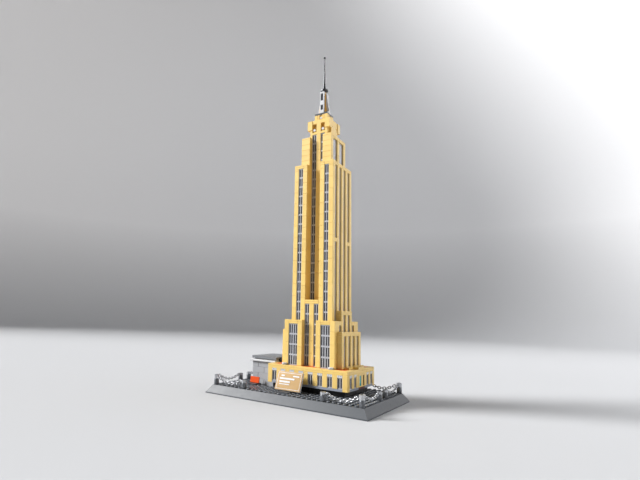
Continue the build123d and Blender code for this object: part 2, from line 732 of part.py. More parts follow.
# Upper tier: wings with two wide windows on each flank
with BuildPart() as upper_walls:
    for sx in both:
        add_bricks([(2.5 * sx, y) for y in (-3, 3)], 2, 1, shaft_top, upper_top)
        add_bricks([(3 * sx, 0)], 1, 1, shaft_top, upper_top - 2)
        add_bricks([(3 * sx, 0)], 1, 5, upper_top - 2, upper_top)
finish(upper_walls, "upper_walls")

# Crown: two openings between slim piers on the front and back, plain flanks with slots, a slab on top
opening_bottom = 134
opening_top = 139
crown_foot = crown_top - 8
pier_inner = 1.5
pier_outer = 2.0
slot_level = 137.2
with BuildPart() as crown_walls:
    add_bricks([(0, 0)], 2.98, 2.98, upper_top, opening_top)
    add_bricks([(-2, 0), (2, 0)], 1, 2 * pier_inner, upper_top, opening_top)
    pier_spots = [((pier_inner + pier_outer) / 2 * sx, 2 * sy) for sx, sy in corner_signs]
    add_bricks(pier_spots, pier_outer - pier_inner, 1, upper_top, opening_top)
    add_bricks([(0, -2), (0, 2)], 1, 1, crown_foot, opening_top)
    add_bricks([(x, y) for x in both for y in (-2, 2)], 1, 1, crown_foot, opening_bottom)
    add_bricks([(0, 0)], 5, 5, opening_top, crown_top)
    for side in flanks:
        with BuildSketch(facade(side, slot_level).offset(2.5 * stud)) as slots:
            with GridLocations(2 * stud, 0, 2, 1):
                Rectangle(0.6 * stud, 1.2)
        extrude(slots.sketch, amount=-0.8, mode=Mode.SUBTRACT)
finish(crown_walls, "crown_walls")

# Corner pieces that stand proud of the crown, and the sloped wedges in its openings
corner_outer = 2.62
corner_bottom = 135.8
wedge_back = 1.52 * stud
wedge_front = 2.4 * stud
wedge_rise = 3.4 * plate
dot_radius = 2.3
dot_height = 1.5 * plate
dot_back = 2.12 * stud
dot_front = 2.5 * stud


def dot_outline(side, x):
    """Circle for the round stud that sits in the crown opening at this place along the wall."""
    with BuildSketch(facade(side, opening_bottom).offset(dot_back)) as outline:
        with Locations((x * stud, dot_height)):
            Circle(dot_radius)
    return outline.sketch


with BuildPart() as crown_trim:
    for sx, sy in corner_signs:
        middle = (pier_inner + corner_outer) / 2
        below_slab = (corner_bottom, opening_top, pier_outer)
        beside_slab = (opening_top, crown_top, 2.5)
        for bottom, top, inner_edge in (below_slab, beside_slab):
            with BuildSketch(level(bottom)) as corner:
                with Locations(*in_studs([(middle * sx, middle * sy)])):
                    Rectangle((corner_outer - pier_inner) * stud, (corner_outer - pier_inner) * stud)
                with Locations(*in_studs([((inner_edge + 1) / 2 * sx, 2 * sy)])):
                    Rectangle((inner_edge - 1) * stud, stud + 0.02, mode=Mode.SUBTRACT)
            extrude(corner.sketch, amount=(top - bottom) * plate)
    for side in faces:
        wall = facade(side, opening_bottom)
        for x in both:
            start = wall.origin + wall.x_dir * ((x - 0.49) * stud)
            with BuildSketch(Plane(start, x_dir=wall.z_dir, z_dir=wall.x_dir)) as wedge:
                with BuildLine():
                    Polyline((wedge_back, 0), (wedge_front, 0), (wedge_front, -0.6),
                             (wedge_back, -wedge_rise), close=True)
                make_face()
            extrude(wedge.sketch, amount=0.98 * stud)
            extrude(dot_outline(side, x), amount=dot_front - dot_back, mode=Mode.SUBTRACT)
finish(crown_trim, "crown_trim")

# Block above the crown: a shallow notch between two slits on each side
notch_depth = 1.6
notch_bottom = 142
with BuildPart() as top_block:
    add_bricks([(0, 0)], 3, 3, crown_top, top_block_top)
    for side in faces + flanks:
        with BuildSketch(facade(side, notch_bottom).offset(1.5 * stud)) as cuts:
            with Locations((0, 1.5 * plate)):
                Rectangle(0.7 * stud, 3 * plate)
            with GridLocations(1.5 * stud, 0, 2, 1):
                with Locations((0, 1.5 * plate)):
                    Rectangle(1.0, 3 * plate)
        extrude(cuts.sketch, amount=-notch_depth, mode=Mode.SUBTRACT)
finish(top_block, "top_block")

# White round studs: one in each crown opening and one in each notch of the block above
with BuildPart() as crown_dots:
    for side in faces:
        for x in both:
            extrude(dot_outline(side, x), amount=dot_front - dot_back)
    for side in faces + flanks:
        with BuildSketch(facade(side, notch_bottom).offset(1.5 * stud - notch_depth)) as notch_dot:
            with Locations((0, 1.2 * plate)):
                Circle(2.0)
        extrude(notch_dot.sketch, amount=1.4)
finish(crown_dots, "crown_dots")

# ---------------------------------------------------------------- spire

# Dark plates under the spire
spire_bottom = 146
spire_top = 159
with BuildPart() as spire_plates:
    add_bricks([(0, 0)], 2.96, 2.96, top_block_top, spire_bottom)
finish(spire_plates, "spire_plates")

# Tan core of the spire: a square foot that tapers to a slimmer square stem
core_foot = 0.75 * stud
core_stem = 0.5 * stud
foot_top = 149
stem_bottom = 153
with BuildPart() as spire_core:
    with BuildSketch(level(spire_bottom)):
        Rectangle(2 * core_foot, 2 * core_foot)
    extrude(amount=(foot_top - spire_bottom) * plate)
    with BuildSketch(level(foot_top)):
        Rectangle(2 * core_foot, 2 * core_foot)
    with BuildSketch(level(stem_bottom)):
        Rectangle(2 * core_stem, 2 * core_stem)
    loft()
    with BuildSketch(level(stem_bottom)):
        Rectangle(2 * core_stem, 2 * core_stem)
    extrude(amount=(spire_top - stem_bottom) * plate)
finish(spire_core, "spire_core")

# White window panels front and back, and stepped fins left and right on their feet
panel_half = 0.46 * stud
panel_back = core_foot + 0.05
panel_front_depth = 1.1 * stud
window_width = 0.56 * stud
lower_window = (148.3, 151.3)
upper_window = (153.8, 158.0)
fin_steps = ((1.32, 149.5), (1.14, 152.5), (0.98, 155.0), (0.84, 157.5), (0.7, 158.6))
fin_thickness = 0.4 * stud
fin_foot = (core_foot + 0.05, 1.4 * stud)
with BuildPart() as spire_panels:
    for side in faces:
        with BuildSketch(facade(side, spire_bottom).offset(panel_back)) as panel:
            with Locations((0, (spire_top - spire_bottom) * plate / 2)):
                Rectangle(2 * panel_half, (spire_top - spire_bottom) * plate)
            for low, high in (lower_window, upper_window):
                with Locations((0, ((low + high) / 2 - spire_bottom) * plate)):
                    Rectangle(window_width, (high - low) * plate, mode=Mode.SUBTRACT)
        extrude(panel.sketch, amount=panel_front_depth - panel_back)
        with BuildSketch(facade(side, spire_top - 1).offset(core_stem)) as tie:
            with Locations((0, plate / 2)):
                Rectangle(2 * panel_half, plate)
        extrude(tie.sketch, amount=panel_back - core_stem)
    for sx in both:
        with BuildSketch(Plane((tower_x, tower_y + fin_thickness / 2, base_height), x_dir=right_way,
                               z_dir=-back_way)):
            with BuildLine():
                outline = [(core_foot / stud + 0.006, spire_bottom)]
                for reach, height in fin_steps:
                    low = outline[-1][1]
                    outline += [(reach, low), (reach - 0.06, height)]
                outline += [(core_stem / stud, fin_steps[-1][1]), (core_stem / stud, stem_bottom)]
                outline += [(core_foot / stud + 0.006, foot_top)]
                Polyline([(sx * x * stud, z * plate) for x, z in outline], close=True)
            make_face()
        extrude(amount=fin_thickness)
        with BuildSketch(level(spire_bottom)):
            with Locations((sx * sum(fin_foot) / 2, 0)):
                Rectangle(fin_foot[1] - fin_foot[0], 1.3 * stud)
        extrude(amount=plate)
finish(spire_panels, "spire_panels")

# Dark glazing in the spire's windows
glazing_gap = 0.02
with BuildPart() as spire_windows:
    for side in faces:
        with BuildSketch(facade(side, spire_bottom).offset(panel_back)) as glazing:
            for low, high in (lower_window, upper_window):
                with Locations((0, ((low + high) / 2 - spire_bottom) * plate)):
                    Rectangle(window_width - 2 * glazing_gap, (high - low) * plate - 2 * glazing_gap)
        extrude(glazing.sketch, amount=0.22 * stud)
finish(spire_windows, "spire_windows")

# Round lantern: a neck, a dish and a cone that holds the mast
neck_radius = 3.4
dish_radius = 6.6
cone_radius = 3.0
mast_radius = 1.7
mast_foot = 164
mast_head = 180.6
lantern_steps = ((neck_radius, 0), (neck_radius, 2.0), (dish_radius - 1.6, 3.4), (dish_radius, 4.2),
                 (dish_radius, 6.6), (dish_radius - 0.7, 7.3), (cone_radius, 7.6), (mast_radius + 0.3, 16.0))
with BuildPart() as lantern:
    with BuildSketch(Plane.XZ.offset(-tower_y)):
        with BuildLine():
            lantern_base = base_height + spire_top * plate
            outline = [(tower_x + radius, lantern_base + height) for radius, height in lantern_steps]
            outline += [(tower_x, outline[-1][1]), (tower_x, lantern_base)]
            Polyline(outline, close=True)
        make_face()
    revolve(axis=Axis((tower_x, tower_y, 0), (0, 0, 1)))
finish(lantern, "lantern")

# Tapered mast with a collar and a ball at its tip
ball_radius = 2.0
with BuildPart() as mast:
    with BuildSketch(level(mast_foot)):
        Circle(2.0)
    extrude(amount=plate)
    with BuildSketch(level(mast_foot + 1)):
        Circle(mast_radius)
    with BuildSketch(level(mast_head)):
        Circle(1.0)
    loft()
    with Locations((tower_x, tower_y, base_height + mast_head * plate + 1.0)):
        Sphere(ball_radius)
finish(mast, "mast")
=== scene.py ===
import math

import bpy
import numpy as np
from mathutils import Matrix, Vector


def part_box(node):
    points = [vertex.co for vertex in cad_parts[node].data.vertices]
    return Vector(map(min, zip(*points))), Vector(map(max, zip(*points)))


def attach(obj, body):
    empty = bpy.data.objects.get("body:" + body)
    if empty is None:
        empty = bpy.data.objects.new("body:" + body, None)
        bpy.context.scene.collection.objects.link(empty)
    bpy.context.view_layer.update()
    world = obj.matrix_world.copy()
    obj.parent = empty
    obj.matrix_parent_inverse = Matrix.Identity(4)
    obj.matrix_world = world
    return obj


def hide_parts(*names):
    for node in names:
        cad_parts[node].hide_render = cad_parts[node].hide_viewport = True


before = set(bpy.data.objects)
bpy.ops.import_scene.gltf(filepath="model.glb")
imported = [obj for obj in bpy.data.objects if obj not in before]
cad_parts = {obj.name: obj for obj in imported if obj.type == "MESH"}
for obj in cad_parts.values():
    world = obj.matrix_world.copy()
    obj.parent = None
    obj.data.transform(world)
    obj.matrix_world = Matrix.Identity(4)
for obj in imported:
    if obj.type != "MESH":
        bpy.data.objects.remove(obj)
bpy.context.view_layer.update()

# ------------------------------------------------------------------ camera
# The camera stands low and close, at the right of the front, and is turned a little off the level. Its wide
# lens is shifted sideways, so that the tower stays near the middle and hardly leans.
camera_data = bpy.data.cameras.new("camera")
camera_data.lens = 23.96
camera_data.sensor_width = 36.0
camera_data.shift_x = 0.1
camera_data.shift_y = 0.0085
camera = bpy.data.objects.new("camera", camera_data)
camera.location = (0.3458, -0.6261, 0.1239)
camera.rotation_euler = (1.7362, -0.0367, 0.6233)
bpy.context.scene.collection.objects.link(camera)
bpy.context.scene.camera = camera
bpy.context.scene.view_settings.view_transform = "Standard"

# ------------------------------------------------------------------ lights
# A plain studio: a bright soft lamp high at the left of the front, a faint warm one low at the right, and a
# dim even glow from all round.
def linear(red, green, blue):
    """A colour from its 0-255 display values, as the linear values that a shader takes."""
    share = np.array([red, green, blue]) / 255
    bent = np.where(share <= 0.04045, share / 12.92, ((share + 0.055) / 1.055) ** 2.4)
    return (*bent.tolist(), 1.0)


def soft_sun(name, direction, strength, spread, colour=(1.0, 1.0, 1.0)):
    """A distant light that shines from a direction, with a wide disc so that its shadows are soft."""
    data = bpy.data.lights.new(name, "SUN")
    data.energy = strength
    data.angle = math.radians(spread)
    data.color = colour
    light = bpy.data.objects.new(name, data)
    x, y, z = direction
    light.rotation_euler = (math.atan2(math.hypot(x, y), z), 0, math.atan2(x, -y))
    bpy.context.scene.collection.objects.link(light)


soft_sun("key_light", direction=(-0.71, -0.474, 0.52), strength=5.7, spread=22)
soft_sun("fill_light", direction=(0.90, -0.35, 0.10), strength=0.14, spread=40, colour=(1.0, 0.70, 0.36))

glow_colour = linear(240, 242, 246)
glow_strength = 0.16
world = bpy.data.worlds.new("studio")
world.use_nodes = True
world.node_tree.nodes["Background"].inputs["Color"].default_value = glow_colour
world.node_tree.nodes["Background"].inputs["Strength"].default_value = glow_strength
bpy.context.scene.world = world

# ------------------------------------------------------------------ studio floor
# A round sheet of pale matt paper lies flat under the model. Its far half bends up in a quarter round and
# stands behind as a wall, so that no line shows between floor and wall.


def link_mesh(name, vertices, faces, smooth=False):
    """A mesh object at the origin from an array of points and a list of faces."""
    mesh = bpy.data.meshes.new(name)
    mesh.from_pydata(np.asarray(vertices).tolist(), [], faces)
    mesh.polygons.foreach_set("use_smooth", [smooth] * len(mesh.polygons))
    mesh.update()
    piece = bpy.data.objects.new(name, mesh)
    bpy.context.scene.collection.objects.link(piece)
    return piece


def grid_faces(rows, columns, closed_columns=False):
    """Quads over a grid of points stored row after row: point, next in its row, and the two after them."""
    spans = columns if closed_columns else columns - 1
    row, column = np.meshgrid(np.arange(rows - 1), np.arange(spans), indexing="ij")
    after = (column + 1) % columns
    return np.stack([row * columns + column, row * columns + after, (row + 1) * columns + after,
                     (row + 1) * columns + column], axis=-1).reshape(-1, 4)


def paper_points(flat_radius, bend_radius, wall_height, rows, columns):
    """Rows of points outwards from the middle. The radius grows to the flat radius over two fifths of the
    rows, then by the bend radius times the sine of the bend. The height is the bend radius times one less
    the cosine of the bend, and then the wall's height is added over the last fifth. All heights are times a
    share that is 0 at the front and rises smoothly to 1 at the back."""
    share = np.linspace(0, 1, rows)
    bend = np.clip((share - 0.4) / 0.4, 0, 1) * math.pi / 2
    reach = np.clip(share / 0.4, 0, 1) * flat_radius + bend_radius * np.sin(bend)
    rise = bend_radius * (1 - np.cos(bend)) + np.clip((share - 0.8) / 0.2, 0, 1) * wall_height
    around = np.linspace(0, 2 * math.pi, columns, endpoint=False)
    behind = np.clip(np.sin(around) * 1.6 + 0.75, 0, 1)
    behind = behind ** 2 * (3 - 2 * behind)
    radius = reach[:, None] + 0.001
    return np.stack([radius * np.cos(around), radius * np.sin(around), rise[:, None] * behind],
                    axis=-1).reshape(-1, 3)


class Value:
    """A shader socket that takes part in Python expressions: each operator adds its Math node."""

    def __init__(self, finish, socket):
        self.finish = finish
        self.socket = socket

    def maths(self, operation, first, second):
        return self.finish.maths(operation, first, second)

    def __add__(self, other):
        return self.maths("ADD", self, other)

    def __radd__(self, other):
        return self.maths("ADD", other, self)

    def __sub__(self, other):
        return self.maths("SUBTRACT", self, other)

    def __rsub__(self, other):
        return self.maths("SUBTRACT", other, self)

    def __mul__(self, other):
        return self.maths("MULTIPLY", self, other)

    def __rmul__(self, other):
        return self.maths("MULTIPLY", other, self)


class Finish:
    """A material built round one Principled surface."""

    def __init__(self, name, **constants):
        self.material = bpy.data.materials.new(name)
        self.material.use_nodes = True
        self.tree = self.material.node_tree
        self.surface = self.tree.nodes["Principled BSDF"]
        for socket, value in constants.items():
            self.surface.inputs[socket.replace("_", " ")].default_value = value
        self.place = self.node("ShaderNodeTexCoord", output="Object")

    def maths(self, operation, first, second):
        """One Math node over two values."""
        return self.node("ShaderNodeMath", {"operation": operation}, {0: first, 1: second})

    def put(self, value, socket):
        """Links a socket, or sets a plain value."""
        if isinstance(value, Value):
            self.tree.links.new(value.socket, socket)
        else:
            socket.default_value = value

    def node(self, kind, settings=None, inputs=None, output=0):
        """Adds a node: its settings first, then the values or links of its sockets."""
        made = self.tree.nodes.new(kind)
        for key, value in (settings or {}).items():
            setattr(made, key, value)
        for key, value in (inputs or {}).items():
            self.put(value, made.inputs[key])
        return Value(self, made.outputs[output])

    def noise(self, scale, detail=2.0):
        """Noise over the object's own coordinates, with features of about one over the scale in metres."""
        return self.node("ShaderNodeTexNoise", {}, {"Vector": self.place, "Scale": scale, "Detail": detail})

    def mix(self, share, first, second):
        """A colour between two, by a share."""
        return self.node("ShaderNodeMix", {"data_type": "RGBA"}, {0: share, 6: first, 7: second}, output=2)

    def feed(self, socket, value):
        """Drives one input of the surface."""
        self.put(value, self.surface.inputs[socket])


paper_rows = 50
paper_columns = 96
paper_pale = linear(190, 191, 193)
paper_white = linear(246, 246, 247)
paper_faces = grid_faces(paper_rows, paper_columns, closed_columns=True)[:, ::-1].tolist()
floor = link_mesh("studio_floor", paper_points(3.0, 1.8, 4.5, paper_rows, paper_columns),
                  paper_faces + [list(range(paper_columns))], smooth=True)
paper = Finish("studio_paper", Roughness=0.85)
paper_height = paper.node("ShaderNodeSeparateXYZ", {}, {0: paper.place}, output=2)
paper_share = paper.node("ShaderNodeMapRange", {"clamp": True}, {0: paper_height, 1: 0.0, 2: 1.2})
paper.feed("Base Color", paper.mix(paper_share, paper_pale, paper_white))
floor.data.materials.append(paper.material)

# ------------------------------------------------------------------ sloped rim of the base
# A ring of dark grey slope bricks goes round the deck, over floor plates and ribs that it hides. All are
# moulded plastic with a satin skin, and each is pushed on to the studs below.


def moulded(name, colour, roughness=0.3, tone=0.05, per_brick=False, painted_reflections=False, above=None,
            **constants):
    """Moulded plastic. Its colour runs from 1 - 2 tone to 1 + tone times the given one with a slow noise,
    which is mixed with the brick's own number where there is one. Above a level another colour can take
    over, and painted reflections add pale noise that is drawn out along the height: painted reflection
    streaks, standing in for lamps mirrored in a glossy pane. A finer noise spreads the roughness about its
    value, and two finer ones still make shallow sink marks."""
    mottle_scale, gloss_scale, sink_scale, grain_scale = 35.0, 160.0, 420.0, 2600.0
    gloss_spread = 0.14
    finish = Finish(name, **constants)
    dark = tuple(c * (1 - 2 * tone) for c in colour[:3]) + (1.0,)
    light = tuple(min(1.0, c * (1 + tone)) for c in colour[:3]) + (1.0,)
    mottle = finish.noise(mottle_scale, 3.0)
    if per_brick:
        brick = finish.node("ShaderNodeAttribute", {"attribute_name": "tone"}, output="Fac")
        mottle = mottle * 0.4 + brick * 0.6
    shade = finish.mix(mottle, dark, light)
    if above:
        level, upper = above
        height = finish.node("ShaderNodeSeparateXYZ", {}, {0: finish.place}, output=2)
        shade = finish.mix(finish.maths("GREATER_THAN", height, level), shade, upper)
    # Painted reflection: pale streaks drawn out along the height are mixed into the colour in place of
    # mirrored lamps.
    if painted_reflections:
        across, along = 520.0, 9.0
        drawn = finish.node("ShaderNodeVectorMath", {"operation": "MULTIPLY"},
                            {0: finish.place, 1: (across, across, along)})
        reflection_streak = finish.node("ShaderNodeTexNoise", {}, {"Vector": drawn, "Scale": 1.0, "Detail": 1.0})
        shade = finish.mix(reflection_streak * 0.75, shade, linear(196, 196, 200))
    finish.feed("Base Color", shade)
    finish.feed("Roughness", finish.noise(gloss_scale) * gloss_spread + (roughness - gloss_spread / 2))
    ripple = finish.noise(sink_scale) * 0.6 + finish.noise(grain_scale, 1.0) * 0.4
    bump = finish.node("ShaderNodeBump", {}, {"Strength": 0.12, "Distance": 0.0002, "Height": ripple})
    finish.feed("Normal", bump)
    return finish.material


def dress(material, *nodes):
    """Gives CAD nodes their material."""
    for node in nodes:
        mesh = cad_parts[node].data
        mesh.materials.clear()
        mesh.materials.append(material)


slope_grey = moulded("rim_grey", linear(70, 74, 79), 0.46)
dress(slope_grey, "base_underframe", "long_slopes", "side_slopes")

# ------------------------------------------------------------------ deck plates
# Four thin dark grey plates meet edge to edge inside the rim. As in the whole kit, their sizes are whole
# numbers of studs in plan and of plates in height, counted from the tower's axis, which is the mast's.
cornice_low, cornice_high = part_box("podium_cornice")
cornice_studs = 17
stud = (cornice_high.x - cornice_low.x) / cornice_studs
roof_low, roof_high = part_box("podium_roof")
plate = roof_high.z - roof_low.z
mast_low, mast_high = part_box("mast")
deck_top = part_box("plinth_bricks")[0].z
axis = np.array([(mast_low.x + mast_high.x) / 2, (mast_low.y + mast_high.y) / 2, deck_top])
unit = np.array([stud, stud, plate])
base = "tower_and_base"
seam = 0.00005
edge_round = 0.00028


def rounded_box_faces():
    """Quads and triangles of one box with rounded edges. Its corners count in binary, x first, and each has
    three points, one on each of its three sides. A side joins its corners' points, an edge is a strip
    between the points of the two sides that meet there, and a corner is the triangle of its three points."""
    step = (12, 6, 3)
    quads = []
    for a in range(3):
        b, c = (a + 1) % 3, (a + 2) % 3
        side = np.array([0, step[b], step[b] + step[c], step[c]]) + a
        quads += [side[::-1], side + step[a]]
        for i, j in ((0, 0), (0, 1), (1, 0), (1, 1)):
            near = i * step[b] + j * step[c]
            strip = np.array([near + b, near + step[a] + b, near + step[a] + c, near + c])
            quads.append(strip[::-1] if i == j else strip)
    corners = np.arange(24).reshape(8, 3)
    odd = np.array([0, 1, 1, 0, 1, 0, 0, 1], bool)[:, None]
    return np.array(quads), np.where(odd, corners, corners[:, ::-1])


def lay_bricks(name, rows, material, nodes, round_by=edge_round, body=base):
    """One mesh of many bricks, each row the low and high corner of one in studs and plates. A brick is a box
    short of its place by a seam all round. Each corner is three points, each of them a small step in from
    two of its sides, so that narrow edge strips and corner triangles round the box off."""
    rows = np.array(rows, float)
    low = axis + rows[:, :3] * unit + seam
    high = axis + rows[:, 3:] * unit - seam
    corner = np.stack(np.meshgrid((0, 1), (0, 1), (0, 1), indexing="ij"), axis=-1).reshape(8, 3)
    full = low[:, None, :] + corner[None] * (high - low)[:, None, :]
    inward = (1 - 2 * corner)[None] * round_by
    points = full[:, :, None, :] + inward[:, :, None, :] * (1 - np.eye(3))[None, None]
    quads, triangles = rounded_box_faces()
    first = (np.arange(len(rows)) * 24)[:, None, None]
    faces = (quads + first).reshape(-1, 4).tolist() + (triangles + first).reshape(-1, 3).tolist()
    piece = link_mesh(name, points.reshape(-1, 3), faces)
    shade = np.random.default_rng(len(rows) + 7).random(len(rows))
    tone = piece.data.attributes.new("tone", "FLOAT", "POINT")
    tone.data.foreach_set("value", np.repeat(shade, 24).astype(np.float32))
    piece.data.materials.append(material)
    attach(piece, body)
    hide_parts(*nodes)
    return piece


deck_grey = moulded("deck_grey", linear(66, 70, 75), 0.30)
dress(deck_grey, "deck_plates")
rim_low, rim_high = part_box("base_underframe")
deck_low = (np.array([rim_low.x, rim_low.y]) - axis[:2]) / stud
deck_high = (np.array([rim_high.x, rim_high.y]) - axis[:2]) / stud
joint_x = (0 - axis[0]) / stud
joint_y = joint_x + 2
deck_rows = [(x_low, y_low, -1, x_high, y_high, 0)
             for x_low, x_high in ((deck_low[0], joint_x), (joint_x, deck_high[0]))
             for y_low, y_high in ((deck_low[1], joint_y), (joint_y, deck_high[1]))]
lay_bricks("deck_sheets", deck_rows, deck_grey, ["deck_plates"])

# ------------------------------------------------------------------ deck studs
# Every stud that no brick covers shows. The studs are the same plastic as the plates, but they are given a
# paler and glossier grey, and the paler grey is a painted highlight on their tops. Each is a low round knob
# with its rim rounded by the mould, one piece with the plate below it.


def turned(name, centres, profile, segments, material, nodes, body=base):
    """Copies of one turned shape, a copy at each centre. Each profile point, a radius and a height, goes once
    round an upright axis in equal steps, and flat lids close the first and the last ring."""
    radius, height = np.array(profile).T
    angle = np.linspace(0, 2 * math.pi, segments, endpoint=False)
    ring = np.stack([radius[:, None] * np.cos(angle), radius[:, None] * np.sin(angle),
                     np.repeat(height[:, None], segments, 1)], axis=-1).reshape(-1, 3)
    points = (np.array(centres)[:, None, :] + ring[None]).reshape(-1, 3)
    sides = grid_faces(len(profile), segments, closed_columns=True)
    offset = (np.arange(len(centres)) * len(ring))[:, None, None]
    walls = (sides[None] + offset).reshape(-1, 4).tolist()
    caps = np.stack([np.arange(segments)[::-1], np.arange(segments) + len(ring) - segments])
    lids = (caps[None] + offset).reshape(-1, segments).tolist()
    piece = link_mesh(name, points, walls + lids)
    piece.data.polygons.foreach_set("use_smooth", [True] * len(walls) + [False] * len(lids))
    piece.data.materials.append(material)
    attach(piece, body)
    if nodes:
        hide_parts(*nodes)
    return piece


# Studs under the fence's posts, and the first and last stud that each other thing covers along x and y.
post_spots = [(x, y) for x in (-18, 13) for y in (-11, 8, -3, 0)]
post_spots += [(x, y) for x in (-11, 6) for y in (-11, 8)]
covered = {"plinth": (-7, 7, -5, 5), "annex": (-14, -9, -5, 4), "plaque bracket": (-3, -2, -10, -8),
           "tile sign": (-13, -12, -6, -5)}
stud_grid = np.meshgrid(np.arange(-18, 14), np.arange(-11, 9), indexing="ij")
grid_x, grid_y = [spread.ravel() for spread in stud_grid]
shown = ~np.isin(grid_x * 100 + grid_y, [x * 100 + y for x, y in post_spots])
for first_x, last_x, first_y, last_y in covered.values():
    shown &= (grid_x < first_x) | (grid_x > last_x) | (grid_y < first_y) | (grid_y > last_y)
stud_spots = np.stack([grid_x[shown], grid_y[shown], 0 * grid_x[shown]], axis=-1) * unit + axis
stud_radius = 0.3 * stud
stud_height = 0.0017
stud_round = 0.00035
stud_sink = 0.0002
stud_profile = [(stud_radius, -stud_sink), (stud_radius, stud_height - stud_round),
                (stud_radius - 0.0001, stud_height - 0.0001), (stud_radius - stud_round, stud_height)]
# Painted highlight: the studs get a paler grey than the plates they are moulded with, standing in for light
# on their tops.
stud_grey_painted_highlight = moulded("stud_grey_painted_highlight", linear(112, 116, 122), 0.20)
turned("deck_studs", stud_spots, stud_profile, 14, stud_grey_painted_highlight, [])

# ------------------------------------------------------------------ plinth
# One black course of matt bricks stands back under the podium, pushed on to the deck's studs. It leaves a
# dark gap that makes the podium seem to float.


def cuts(low, high, step, offset=0.0, shortest=0.26):
    """Cut positions from low to high: the first after the offset, or a step, and then at every step. Cuts
    that would leave less than the shortest piece at an end are left out."""
    inner = np.arange(low + (offset or step), high - shortest, step)
    return np.concatenate([[low], inner[inner > low + shortest], [high]])


def brickwork(x, y, z, course=6, length=4, offset=0, bond=True):
    """Bricks that fill a box given in studs and plates, as rows of low and high corners. The height is cut
    into courses and each course into lengths, and every second course is shifted by half a length."""
    widest_uncut = 1.3
    rows = []
    levels = cuts(z[0], z[1], course, offset)
    for count, (bottom, top) in enumerate(zip(levels, levels[1:])):
        shift = length / 2 if bond and count % 2 else 0
        x_cuts = cuts(x[0], x[1], length, shift) if x[1] - x[0] > widest_uncut else np.array(x)
        y_cuts = cuts(y[0], y[1], length, shift) if y[1] - y[0] > widest_uncut else np.array(y)
        rows += [(x_low, y_low, bottom, x_high, y_high, top)
                 for x_low, x_high in zip(x_cuts, x_cuts[1:]) for y_low, y_high in zip(y_cuts, y_cuts[1:])]
    return rows


def one_stud(middle, half=0.5):
    """The two ends of a run one stud wide, half of it on each side of its middle."""
    return middle - half, middle + half


black = moulded("plinth_black", linear(17, 16, 17), 0.38, per_brick=True)
dress(black, "plinth_bricks")
ends = (-1, 1)
plinth_height = (0, 3)
plinth_rows = []
for side in ends:
    plinth_rows += brickwork((-7.5, 7.5), one_stud(side * 5), plinth_height, 3)
    plinth_rows += brickwork(one_stud(side * 7), (-4.5, 4.5), plinth_height, 3)
lay_bricks("plinth_brickwork", plinth_rows, black, ["plinth_bricks"])

# ------------------------------------------------------------------ podium walls
# Tan bricks stand in piers between the podium's windows, with a taller pier at each corner and a plain wall
# behind the annex. Two courses of long plates lie over them as a cornice.
tan = moulded("tan_brick", linear(231, 197, 116), 0.34, 0.045, per_brick=True)
tan_plain = moulded("tan_trim", linear(231, 196, 114), 0.32)
dress(tan_plain, "podium_pillars", "podium_piers", "podium_cornice", "roof_platforms")
corner_height = (3, 10)
pier_height = (4, 10)
frieze_height = (10, 11)
cornice_height = (11, 12)
pier_rows = []
for side in ends:
    for x in (-8, 8):
        pier_rows += brickwork(one_stud(x), one_stud(side * 6), corner_height, 6, offset=1)
    for x in range(-6, 7, 2):
        pier_rows += brickwork(one_stud(x), one_stud(side * 6), pier_height, 6)
for y in (-4, -2, 2, 4):
    pier_rows += brickwork((7.5, 8.5), one_stud(y), pier_height, 6)
pier_rows += brickwork((-8.5, -7.5), (-4.5, 4.5), pier_height, 3, 3)
lay_bricks("podium_brickwork", pier_rows, tan, ["podium_piers"])

cornice_rows = []
for side in ends:
    cornice_rows += brickwork((-8.5, 8.5), one_stud(side * 6), frieze_height, 1, 8)
    cornice_rows += brickwork((-8.5, 8.5), one_stud(side * 6), cornice_height, 1, 6)
    cornice_rows += brickwork(one_stud(side * 8), (-5.5, 5.5), frieze_height, 1, 8)
    cornice_rows += brickwork(one_stud(side * 8), (-5.5, 5.5), cornice_height, 1, 6)
lay_bricks("cornice_brickwork", cornice_rows, tan, ["podium_cornice"])

# ------------------------------------------------------------------ podium floor, windows and roof
# Pale plates make the floor, pale grey frames hold dark clear panes between the piers, white lintels lie over
# them, and flat orange plates fill the roof inside the cornice. All are moulded plastic, held by their studs.
floor_grey = moulded("podium_floor_grey", linear(140, 146, 158), 0.32)
pale_grey = moulded("frame_grey", linear(170, 171, 176), 0.30)
dark_pane = moulded("dark_pane", linear(44, 44, 54), 0.12, 0.12, Coat_Weight=0.4)
white = moulded("white_part", linear(206, 207, 209), 0.28)
orange = moulded("orange_plate", linear(226, 80, 12), 0.30)
dress(floor_grey, "podium_floor")
dress(pale_grey, "podium_window_frames")
dress(dark_pane, "podium_window_panes")
dress(white, "podium_lintels")
dress(orange, "podium_roof")

# ------------------------------------------------------------------ round roof tiles
# Four pale round tiles lie on the cornice, in front of and behind the lower blocks. Each is one stud wide and
# smooth on top, and sits on a stud.
tile_radius = stud / 2 - 0.0001
tile_round = 0.0004
tile_profile = [(tile_radius, 0.0), (tile_radius, plate - tile_round),
                (tile_radius - 0.00012, plate - 0.00012), (tile_radius - tile_round, plate)]
tile_places = np.array([(x, y, 12) for x in (-5, 5) for y in (-6, 6)]) * unit + axis
dress(white, "roof_round_tiles")
turned("round_tiles", tile_places, tile_profile, 40, white, ["roof_round_tiles"])

# ------------------------------------------------------------------ doorway
# A tan panel with an arch stands in the middle of the podium's right side, between brown posts over a dark
# threshold. The teal door leaf is hinged at one side and swings outwards.
brown = moulded("door_brown", linear(84, 38, 28), 0.34)
teal = moulded("door_teal", linear(0, 160, 168), 0.28)
dress(tan_plain, "doorway_surround")
dress(brown, "doorway_trim")
dress(teal, "door_leaf")

